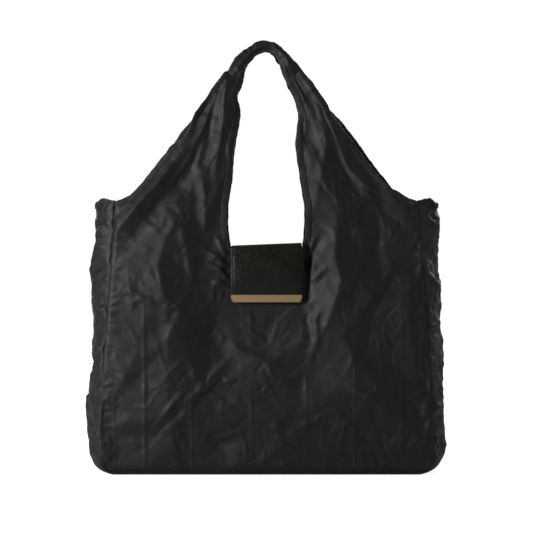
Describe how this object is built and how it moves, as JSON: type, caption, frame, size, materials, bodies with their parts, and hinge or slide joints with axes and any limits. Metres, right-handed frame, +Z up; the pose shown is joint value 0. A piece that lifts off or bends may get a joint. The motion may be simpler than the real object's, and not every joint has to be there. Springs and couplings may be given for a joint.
{
  "type": "foldable tote bag",
  "caption": "Open foldable tote bag in thin nylon with arch handles cut in one with its faces, side gussets, and a leather case with flap, trim bar and swivel clasp that it folds into.",
  "frame": {"origin": "middle of the base, on the surface the bag stands on", "axes": "+Z up towards the handles, +X to the right of someone facing the leather flap, -Y out of the front face that carries the flap"},
  "size_m": [0.4558, 0.127, 0.547],
  "materials": {
    "nylon": "thin woven ripstop nylon with a soft sheen, charcoal black",
    "tape": "folded nylon hem tape, matt black",
    "lining": "matt black lining cloth",
    "label": "blank white satin ribbon",
    "leather": "grained black leather, slight sheen",
    "satin_gold": "satin champagne gold plating",
    "pale_gold": "polished pale gold plating",
    "magnet_steel": "nickel plated magnet discs"
  },
  "bodies": {
    "bag": {"front_panel": "nylon", "front_neck_binding": "tape", "front_left_shoulder_binding": "tape", "front_right_shoulder_binding": "tape", "front_left_seam_tape": "tape", "front_right_seam_tape": "tape", "front_base_seam_tape": "tape", "back_panel": "nylon", "back_neck_binding": "tape", "back_left_shoulder_binding": "tape", "back_right_shoulder_binding": "tape", "back_left_seam_tape": "tape", "back_right_seam_tape": "tape", "back_base_seam_tape": "tape", "left_gusset": "nylon", "left_gusset_hem": "tape", "right_gusset": "nylon", "right_gusset_hem": "tape", "base_panel": "nylon", "care_label": "label", "pocket_front": "leather", "pocket_back": "leather", "pocket_gusset": "leather", "pocket_magnet": "magnet_steel", "ring_tab": "leather"},
    "front_handle": {"front_grip": "nylon", "front_left_strap": "nylon", "front_left_strap_inner_binding": "tape", "front_left_strap_outer_binding": "tape", "front_right_strap": "nylon", "front_right_strap_inner_binding": "tape", "front_right_strap_outer_binding": "tape"},
    "back_handle": {"back_grip": "nylon", "back_left_strap": "nylon", "back_left_strap_inner_binding": "tape", "back_left_strap_outer_binding": "tape", "back_right_strap": "nylon", "back_right_strap_inner_binding": "tape", "back_right_strap_outer_binding": "tape"},
    "flap": {"flap_leather": "leather", "flap_lining": "lining", "flap_magnet": "magnet_steel", "trim_bar": "satin_gold"},
    "loop": {"clasp_loop": "pale_gold"},
    "clasp": {"clasp_frame": "pale_gold", "swivel_rivet": "pale_gold", "gate_pin": "pale_gold"},
    "gate": {"clasp_gate": "pale_gold"}
  },
  "joints": [
    {"name": "front_handle_fold", "type": "hinge", "parent": "bag", "child": "front_handle", "pos_m": [0, -0.0303, 0.4], "axis": [1, 0, 0], "range_deg": [0, 160]},
    {"name": "back_handle_fold", "type": "hinge", "parent": "bag", "child": "back_handle", "pos_m": [0, 0.0303, 0.4], "axis": [-1, 0, 0], "range_deg": [0, 160]},
    {"name": "flap_hinge", "type": "hinge", "parent": "bag", "child": "flap", "pos_m": [0, -0.0298, 0.2857], "axis": [-1, 0, 0], "range_deg": [0, 165]},
    {"name": "loop_swing", "type": "hinge", "parent": "bag", "child": "loop", "pos_m": [-0.048, -0.0339, 0.239], "axis": [0, 0, -1], "range_deg": [-25, 60]},
    {"name": "clasp_swivel", "type": "hinge", "parent": "loop", "child": "clasp", "pos_m": [-0.05479, -0.02711, 0.239], "axis": [-0.7071, 0.7071, 0], "continuous": true},
    {"name": "gate_hinge", "type": "hinge", "parent": "clasp", "child": "gate", "pos_m": [-0.06377, -0.01813, 0.23], "axis": [0.7071, 0.7071, 0], "range_deg": [0, 28], "stiffness_Nm_per_rad": 0.004, "springref_deg": -20.05}
  ]
}
